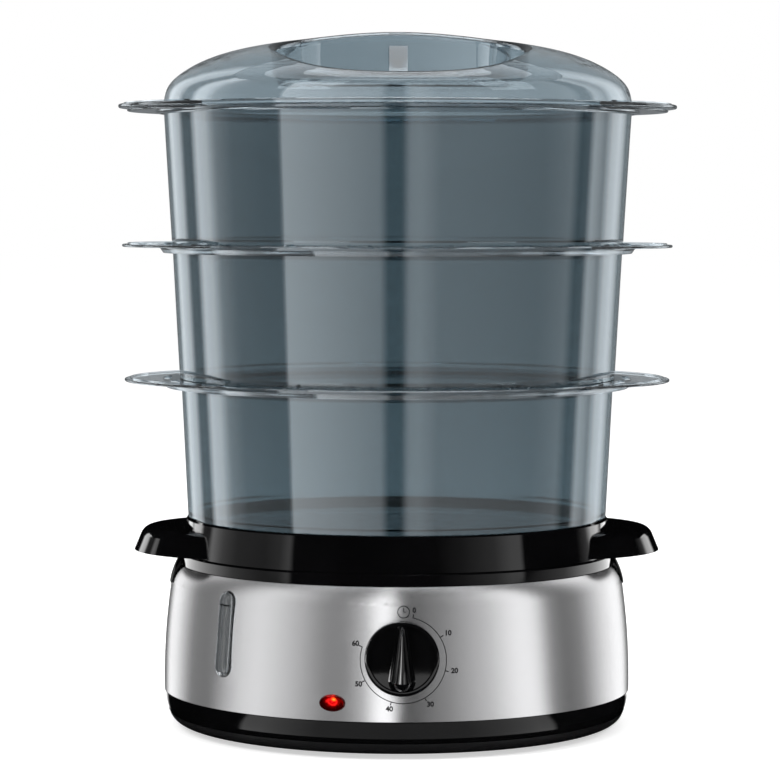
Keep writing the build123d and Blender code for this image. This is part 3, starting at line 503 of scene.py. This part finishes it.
numbers = bmesh.new()
for mark, (x, z) in enumerate(NUMERAL_PLACES):
    numeral(numbers, str(10 * mark), Vector((DIAL_X + x * MM, 0, DIAL_Z + z * MM)), NUMERAL_HEIGHT)
printed("dial_numbers", numbers)

clock = bmesh.new()
clock_centre = Vector((DIAL_X + CLOCK_X, 0, DIAL_Z + CLOCK_Z))
arc_band(clock, 0, 360, CLOCK_RADIUS, LINE_WIDTH, clock_centre, 48)
stroke(clock, clock_centre, clock_centre + Vector((0, 0, LONG_HAND)), LINE_WIDTH)
stroke(clock, clock_centre, clock_centre + Vector((SHORT_HAND, 0, 0)), LINE_WIDTH)
printed("dial_clock", clock)

level_mark = bmesh.new()
level_start = Vector((LEVEL_LEFT, 0, LEVEL_HEIGHT))
stroke(level_mark, level_start, Vector((LEVEL_RIGHT, 0, LEVEL_HEIGHT)), LEVEL_WIDTH)
printed("gauge_mark", level_mark, surface_of("gauge_window"))

# ---------------------------------------------------------------- knob, with the crown of its grip rounded
KNOB_HEIGHT = 53.7 * MM
# the rest in millimetres: depths along Y, and radii and heights from the knob's axis
KNOB_RADIUS = 19.3
KNOB_BACK = -128.6
KNOB_FACE = -133.2
DISH_FACE = -132.2
KNOB_FRONT = -142.7
KNOB_ROUND = 1.2
RIM_END = 2.2  # in from the edge, where the rim's face ends
DISH_START = 2.8  # in from the edge, where the dish is at its depth
GRIP_SUNK = 0.2  # how far the grip's foot goes into the dish
GRIP_FOOT = -11.3
GRIP_POINT = 16.2
# radii of the grip's two ends at the disc, and what they and the point's place lose up to the front
FOOT_RADIUS = 6.0
FOOT_DRAFT = 2.6
POINT_RADIUS = 1.6
POINT_DRAFT = 0.3
POINT_LEAN = 2.5
FLARE = 1.4
# levels, as shares of the grip's height
FLARE_END = 0.14
FLARE_STEPS = 6
FLANK_LEVELS = [0.3, 0.4]
CROWN_START = 0.5
CROWN_STEPS = 14
ROUND_STEPS = 8
SMOOTH_ANGLE = radians(28)


def moulded(name, points, faces):
    """A closed moulding of the knob from points in millimetres round the knob's axis."""
    mesh = bpy.data.meshes.new(name)
    places = [(x * MM, y * MM, KNOB_HEIGHT + z * MM) for x, y, z in points]
    mesh.from_pydata(places, [], faces)
    shape = bmesh.new()
    shape.from_mesh(mesh)
    bmesh.ops.recalc_face_normals(shape, faces=shape.faces)
    shape.to_mesh(mesh)
    shape.free()
    for polygon in mesh.polygons:
        polygon.use_smooth = True
    mesh.set_sharp_from_angle(angle=SMOOTH_ANGLE)
    mesh.materials.append(FINISH["black_knob"])
    piece = stand(name, mesh)
    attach(piece, "knob")
    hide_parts("timer_knob")
    return piece


def knob_disc(steps=128):
    """The dished disc, turned from its profile of radius and depth."""
    profile = [(KNOB_RADIUS, KNOB_BACK), (KNOB_RADIUS, KNOB_FACE + KNOB_ROUND)]
    for step in range(1, ROUND_STEPS + 1):
        angle = pi / 2 * step / ROUND_STEPS
        profile.append((
            KNOB_RADIUS - KNOB_ROUND * (1 - cos(angle)), KNOB_FACE + KNOB_ROUND * (1 - sin(angle)),
        ))
    profile += [(KNOB_RADIUS - RIM_END, KNOB_FACE), (KNOB_RADIUS - DISH_START, DISH_FACE)]
    rows = len(profile)
    points = []
    faces = []
    for step in range(steps):
        angle = 2 * pi * step / steps
        points += [(radius * sin(angle), depth, radius * cos(angle)) for radius, depth in profile]
        here = step * rows
        there = (step + 1) % steps * rows
        faces += [(here + row, there + row, there + row + 1, here + row + 1) for row in range(rows - 1)]
    for row in (0, rows - 1):
        faces.append([step * rows + row for step in range(steps)])
    return moulded("knob_disc", points, faces)


def grip_outline(foot_radius, point_radius, point_place, steps=32):
    """X and Z round the hull of a circle at the grip's foot and a smaller one at its point."""
    slope = asin((foot_radius - point_radius) / (point_place - GRIP_FOOT))
    ends = (
        (point_place, point_radius, slope, pi - slope),
        (GRIP_FOOT, foot_radius, pi - slope, 2 * pi + slope),
    )
    outline = []
    for place, radius, start, end in ends:
        for step in range(steps + 1):
            angle = start + (end - start) * step / steps
            outline.append((radius * cos(angle), place + radius * sin(angle)))
    return outline


def knob_grip():
    """The grip: sloping flanks up to half its height, and a crown rounded like a bar."""
    levels = [FLARE_END * step / FLARE_STEPS for step in range(FLARE_STEPS + 1)]
    levels += FLANK_LEVELS
    levels += [
        CROWN_START + (1 - CROWN_START) * sin(pi / 2 * step / CROWN_STEPS) for step in range(CROWN_STEPS)
    ]
    rings = []
    for level in levels:
        flare = FLARE * max(0.0, 1 - level / FLARE_END) ** 2
        foot_radius = FOOT_RADIUS - FOOT_DRAFT * level + flare
        point_radius = POINT_RADIUS - POINT_DRAFT * level + flare
        place = GRIP_POINT - POINT_LEAN * level
        rounding = max(0.0, (level - CROWN_START) / (1 - CROWN_START))
        share = (1 - rounding * rounding) ** 0.5
        depth = DISH_FACE + GRIP_SUNK + (KNOB_FRONT - DISH_FACE - GRIP_SUNK) * level
        # the crown's ends fall away as its sides do
        place -= (1 - share) * point_radius * 0.5
        outline = grip_outline(foot_radius * share, point_radius * share, place)
        rings.append([(x, depth, z) for x, z in outline])
    count = len(rings[0])
    points = [point for ring in rings for point in ring]
    faces = []
    for ring in range(len(rings) - 1):
        for step in range(count):
            here = ring * count + step
            there = ring * count + (step + 1) % count
            faces.append((here, there, there + count, here + count))
    faces.append(list(range(count)))
    faces.append(list(range((len(rings) - 1) * count, len(rings) * count)))
    return moulded("knob_grip", points, faces)


knob_pieces = [knob_disc(), knob_grip()]

# ---------------------------------------------------------------- floor, reflectors, light
FLOOR_SIZE = 30
FLOOR_COLOUR = (0.8, 0.8, 0.8)
FLOOR_LIFT = 0.56
WORLD_LEVEL = 0.55
BARREL_RADIUS = 0.127
REFLECTOR_RADIUS = 3.0
REFLECTOR_HEIGHT = 3.2
BLACK_HEIGHT = 1.1
SKY_HEIGHT = 12
WALL_GAP = 0.02  # from one set's wall to the next one's
FIRST_FLOOR = 0.001  # height of the first set's floor
FLOOR_GAP = 0.0005  # from there up to the next set's
BACKING_RADIUS = REFLECTOR_RADIUS + 0.1
BACKING_HEIGHT = 0.0004
NEAR_RADIUS = 0.14
TABLE_START = 0.134
TABLE_SPLIT = 0.3
TABLE_RADIUS = 0.427
TABLE_HEIGHT = 0.0025
KNOB_FLOOR_RADIUS = 2.4
KNOB_FLOOR_HEIGHT = 0.003
RIB_STRIP_LOW = 0.468
RIB_STRIP_HIGH = 0.57
MIDDLE_HOLE = 0.01  # radius left open in the middle of a level disc
LAMP_TARGET = Vector((0, 0, 0.19))
WHITE = (1, 1, 1)
CLEAR_COLOUR = (0.88, 0.95, 1.0)


def floor_material(colour, lift):
    """Plain pale floor that reads white, and keeps the object's shadow."""
    material = bpy.data.materials.new("floor")
    s = Nodes(material)
    output = s.add("ShaderNodeOutputMaterial")
    diffuse = s.add("ShaderNodeBsdfDiffuse")
    diffuse.inputs["Color"].default_value = (*colour, 1)
    light = s.add("ShaderNodeEmission")
    s.link(s.math("MULTIPLY", s.seen_share(), lift), light.inputs["Strength"])
    s.link(s.add_shaders(diffuse, light), output.inputs["Surface"])
    return material


def backing_material():
    material = bpy.data.materials.new("backing")
    s = Nodes(material)
    output = s.add("ShaderNodeOutputMaterial")
    dark = s.add("ShaderNodeBsdfDiffuse")
    dark.inputs["Color"].default_value = (0.002, 0.002, 0.002, 1)
    s.link(dark.outputs[0], output.inputs["Surface"])
    return material


def transparent_light(name, colour, strength):
    """Emission that also lets rays pass, so that reflectors for other surfaces don't hide it."""
    material = bpy.data.materials.new(name)
    material.cycles.emission_sampling = "NONE"
    s = Nodes(material)
    output = s.add("ShaderNodeOutputMaterial")
    light = s.add("ShaderNodeEmission")
    light.inputs["Color"].default_value = (*colour, 1)
    light.inputs["Strength"].default_value = strength
    s.link(s.add_shaders(light, s.add("ShaderNodeBsdfTransparent")), output.inputs["Surface"])
    return material, s, light


def reflector_material(name, levels, colour=WHITE):
    """Softboxes round the set, as (azimuth in degrees, brightness), azimuth 0 in front.

    A softbox that a barrel of BARREL_RADIUS reflects upright keeps its direction on the floor too,
    so the azimuth there is turned by the barrel's own width.
    """
    brightest = max(level for _, level in levels)
    material, s, light = transparent_light(name, colour, brightest)
    x, y, _ = s.split(s.position())
    turn = s.math("ARCTAN2", x, s.math("MULTIPLY", y, -1.0))
    reach = s.math("DIVIDE", BARREL_RADIUS, s.distance(x, y))

    def shifted(angle):
        return s.math("MULTIPLY", reach, s.math("SINE", s.math("MULTIPLY", angle, 0.5)))

    shift = s.math("ARCSINE", shifted(s.math("ADD", turn, shifted(turn))))
    place = s.spread(s.math("ADD", turn, shift), 0.0, 1.0, -pi, pi)
    stops = [((azimuth + 180) / 360, shaded(colour, level / brightest)) for azimuth, level in levels]
    s.link(s.ramp(place, stops), light.inputs["Color"])
    return material


def ring_mesh(name, inner, outer, material, parts=None, steps=72):
    """A band round the set between two circles, given as (radius, height), seen only in reflections."""
    points = []
    faces = []
    for step in range(steps):
        angle = 2 * pi * step / steps
        for radius, height in (inner, outer):
            points.append((radius * cos(angle), radius * sin(angle), height))
        here = 2 * step
        there = 2 * ((step + 1) % steps)
        faces.append((here, there, there + 1, here + 1))
    mesh = bpy.data.meshes.new(name)
    mesh.from_pydata(points, [], faces)
    mesh.materials.append(material)
    made = stand(name, mesh)
    made.visible_camera = False
    made.visible_transmission = False
    made.visible_diffuse = False
    made.visible_shadow = False
    if parts:
        made.light_linking.receiver_collection = parts


def softbox(name, azimuth, elevation, distance, width, height, power):
    """A soft studio lamp that faces the middle of the object."""
    data = bpy.data.lights.new(name, "AREA")
    data.shape = "RECTANGLE"
    data.size = width
    data.size_y = height
    data.energy = power
    lamp = stand(name, data)
    angle = radians(azimuth)
    lift = radians(elevation)
    direction = Vector((sin(angle) * cos(lift), -cos(angle) * cos(lift), sin(lift)))
    lamp.location = LAMP_TARGET + distance * direction
    lamp.rotation_euler = (LAMP_TARGET - lamp.location).to_track_quat("-Z", "Y").to_euler()
    lamp.visible_camera = False
    lamp.visible_glossy = False
    return lamp


def receivers(name, nodes, pieces=()):
    """The surfaces that a reflector is meant for."""
    made = bpy.data.collections.new(name)
    for part in [frame["nodes"][node] for node in nodes] + list(pieces):
        made.objects.link(part)
    return made


half = FLOOR_SIZE / 2
floor_mesh = bpy.data.meshes.new("floor")
floor_corners = [(-half, -half, 0), (half, -half, 0), (half, half, 0), (-half, half, 0)]
floor_mesh.from_pydata(floor_corners, [], [(0, 1, 2, 3)])
floor_mesh.materials.append(floor_material(FLOOR_COLOUR, FLOOR_LIFT))
floor = stand("floor", floor_mesh)

metal_parts = receivers("metal_parts", ("steel_wrap",))
black_parts = receivers("black_parts", ("drip_tray", "trim_ring", "base_housing", "bottom_cover"))
knob_parts = receivers("knob_parts", (), knob_pieces)
lid_parts = receivers("lid_parts", ("lid",))
clear_parts = receivers(
    "clear_parts",
    ("bowl_1", "bowl_2", "bowl_3", "bowl_1_floor", "bowl_2_floor", "bowl_3_floor", "lid", "gauge_window"),
)

# softboxes as (azimuth, brightness), joined by straight ramps
METAL_LEVELS = (
    (-180, 0.1), (-162, 0.1), (-152, 1.3), (-142, 1.2), (-122, 0.25), (-104, 0.22), (-82, 0.95), (-72, 1.05),
    (-56, 0.75), (-36, 0.3), (-26, 0.3), (-17, 0.6), (-10, 1.6), (-4, 1.7), (0, 0.08), (6, 0.1),
    (12, 0.2), (24, 0.33), (44, 0.72), (60, 1.25), (70, 1.3), (80, 0.3), (90, 0.18), (102, 0.27),
    (124, 1.05), (138, 1.35), (148, 1.3), (160, 0.1), (180, 0.1),
)
BLACK_LEVELS = (
    (-180, 0), (-148, 0), (-144, 2.6), (-134, 2.6), (-130, 0.1), (-122, 0.1), (-118, 1.3), (-108, 0.6),
    (-96, 0.3), (-76, 0.26), (-66, 0.45), (-60, 1.0), (-58, 0), (20, 0), (34, 0.15), (52, 0.5), (62, 1.1),
    (68, 1.15), (70, 0), (112, 0), (122, 0.3), (128, 2.6), (138, 2.6), (144, 0), (180, 0),
)
BLACK_FLOOR_LEVELS = (
    (-180, 0), (-160, 0.2), (-156, 2.6), (-134, 2.2), (-113, 1.5), (-98, 0.6), (-80, 0.3), (-60, 0), (60, 0),
    (80, 0.3), (98, 0.6), (113, 1.5), (134, 2.2), (156, 2.6), (160, 0.2), (180, 0),
)
TABLE_LEVELS = (
    (-180, 2), (-162, 2), (-154, 0), (-79, 0), (-76, 1.1), (-66, 1.1), (-52, 0.75), (-38, 0.4), (0, 0.32),
    (30, 0.38), (48, 0.7), (66, 1.1), (74, 1.0), (77, 0), (154, 0), (162, 2), (180, 2),
)
CLEAR_LEVELS = (
    (-180, 0.2), (-158, 0.2), (-150, 2.2), (-138, 2.2), (-132, 0.3), (-124, 0.3), (-118, 5), (-110, 5),
    (-102, 1.9), (-90, 0.9), (-70, 0.6), (-61, 0.6), (-59, 5.8), (-40, 4.5), (-10, 2.5), (-6, 0), (1, 0),
    (5, 3.0), (10, 3.2), (20, 1.8), (48, 1.5), (75, 1.1), (94, 1.5), (101, 0.1), (107, 0.3), (112, 3),
    (122, 1.2), (130, 2.8), (140, 2.5), (153, 0.2), (180, 0.2),
)
KNOB_TABLE_LEVELS = ((-180, 0), (-90, 0), (-60, 1.1), (60, 1.1), (90, 0), (180, 0))
KNOB_FLOOR_LEVELS = (
    (-180, 0), (-96, 0), (-90, 1.2), (-72, 1.6), (-66, 9), (-50, 11), (-40, 1.6), (-14, 0.4), (-8, 0),
    (26, 0), (34, 1.2), (52, 1.2), (60, 0), (180, 0),
)
RIB_LEVELS = ((-180, 0), (-5, 0), (-4, 6), (6, 6), (7, 0), (180, 0))

# a dark backing keeps the pale floor and the background out of the reflections
backing = backing_material()
backing_edge = (BACKING_RADIUS, BACKING_HEIGHT)
ring_mesh("backing_floor", (MIDDLE_HOLE, BACKING_HEIGHT), backing_edge, backing)
ring_mesh("backing_wall", backing_edge, (BACKING_RADIUS, SKY_HEIGHT), backing)

# name, levels of the wall and of the floor, inner radius, top, the surfaces meant, and colour
SETS = (
    ("metal", METAL_LEVELS, METAL_LEVELS, NEAR_RADIUS, SKY_HEIGHT, metal_parts, WHITE),
    ("black", BLACK_LEVELS, BLACK_FLOOR_LEVELS, TABLE_RADIUS, BLACK_HEIGHT, black_parts, WHITE),
    ("clear", CLEAR_LEVELS, CLEAR_LEVELS, NEAR_RADIUS, REFLECTOR_HEIGHT, clear_parts, CLEAR_COLOUR),
)
for step, (name, wall_levels, floor_levels, inner, top, parts, colour) in enumerate(SETS):
    foot = (REFLECTOR_RADIUS + WALL_GAP * step, FIRST_FLOOR + FLOOR_GAP * step)
    wall_material = reflector_material(name + "_wall", wall_levels, colour)
    ring_mesh(name + "_wall", foot, (foot[0], top), wall_material, parts)
    disc_material = reflector_material(name + "_floor", floor_levels, colour)
    ring_mesh(name + "_floor", (inner, foot[1]), foot, disc_material, parts)

# level discs near the object: name, levels, inner and outer radius, height, and the surfaces meant
TABLES = (
    ("black_table", TABLE_LEVELS, TABLE_START, TABLE_SPLIT, TABLE_HEIGHT, black_parts),
    ("knob_table", KNOB_TABLE_LEVELS, TABLE_SPLIT, TABLE_RADIUS, TABLE_HEIGHT, knob_parts),
    ("knob_floor", KNOB_FLOOR_LEVELS, TABLE_SPLIT, KNOB_FLOOR_RADIUS, KNOB_FLOOR_HEIGHT, knob_parts),
)
for name, levels, inner, outer, height, parts in TABLES:
    ring_mesh(name, (inner, height), (outer, height), reflector_material(name, levels), parts)

# a short strip that the rib in the lid's front scoop reflects, and the lid's rim doesn't
strip_radius = REFLECTOR_RADIUS - WALL_GAP
ring_mesh(
    "rib_strip", (strip_radius, RIB_STRIP_LOW), (strip_radius, RIB_STRIP_HIGH),
    reflector_material("rib_strip", RIB_LEVELS), lid_parts,
)

# name, strength, colour, inner and outer circle as (radius, height), and the surfaces meant
sky_foot = (REFLECTOR_RADIUS, REFLECTOR_HEIGHT)
OVERHEAD = (
    ("black_top", 24, WHITE, (MIDDLE_HOLE, 2.4), (0.9, 2.4), black_parts),
    ("clear_top", 3, CLEAR_COLOUR, (MIDDLE_HOLE, 2.5), (1.0, 2.5), clear_parts),
    ("clear_top_edge", 2, CLEAR_COLOUR, (MIDDLE_HOLE, 2.51), (1.6, 2.51), clear_parts),
    ("clear_sky", 1, CLEAR_COLOUR, sky_foot, (REFLECTOR_RADIUS, SKY_HEIGHT), clear_parts),
)
for name, strength, colour, inner, outer, parts in OVERHEAD:
    ring_mesh(name, inner, outer, transparent_light(name, colour, strength)[0], parts)

# name, azimuth and elevation in degrees, distance, width and height in metres, power in watts
SOFTBOXES = (
    ("key_left", -50, 40, 2.2, 1.0, 1.0, 22),
    ("key_right", 60, 38, 2.2, 0.9, 0.9, 14),
    ("top", 0, 88, 2.0, 1.4, 1.4, 20),
)
for lamp in SOFTBOXES:
    softbox(*lamp)
knob_strip = softbox("knob_strip", -100, 6, 1.4, 0.12, 0.9, 9)
knob_strip.visible_glossy = True
knob_strip.light_linking.receiver_collection = knob_parts

world = bpy.data.worlds.new("studio")
bpy.context.scene.world = world
studio = Nodes(world)
world_output = studio.add("ShaderNodeOutputWorld")
plain = studio.add("ShaderNodeBackground")
plain.inputs["Strength"].default_value = WORLD_LEVEL
white = studio.add("ShaderNodeBackground")
white.inputs["Strength"].default_value = 1.0
for background in (plain, white):
    background.inputs["Color"].default_value = (*WHITE, 1)
studio.link(studio.mix_shaders(studio.seen_share(), plain, white), world_output.inputs["Surface"])

bpy.context.scene.view_settings.view_transform = "Standard"

# ---------------------------------------------------------------- camera
CAMERA_TURN = radians(-1.1)  # round the front, towards the left
CAMERA_DISTANCE = 1.75
CAMERA_HEIGHT = 0.287
CAMERA_ROLL = radians(0.12)
AIM_HEIGHT = 0.18378
AIM_SIDE = -0.00395
LENS = 146.7
SENSOR_WIDTH = 36
CLIP_START = 0.05
CLIP_END = 60

right = Vector((cos(CAMERA_TURN), sin(CAMERA_TURN), 0))
towards_camera = Vector((sin(CAMERA_TURN), -cos(CAMERA_TURN), 0))
camera_data = bpy.data.cameras.new("camera")
camera_data.lens = LENS
camera_data.sensor_width = SENSOR_WIDTH
camera_data.clip_start = CLIP_START
camera_data.clip_end = CLIP_END
camera = stand("camera", camera_data)
camera.location = towards_camera * CAMERA_DISTANCE + Vector((0, 0, CAMERA_HEIGHT)) + right * AIM_SIDE
aim = right * AIM_SIDE + Vector((0, 0, AIM_HEIGHT))
look = (aim - camera.location).to_track_quat("-Z", "Y")
camera.rotation_euler = (look @ Quaternion((0, 0, 1), CAMERA_ROLL)).to_euler()
bpy.context.scene.camera = camera

bpy.context.view_layer.update()
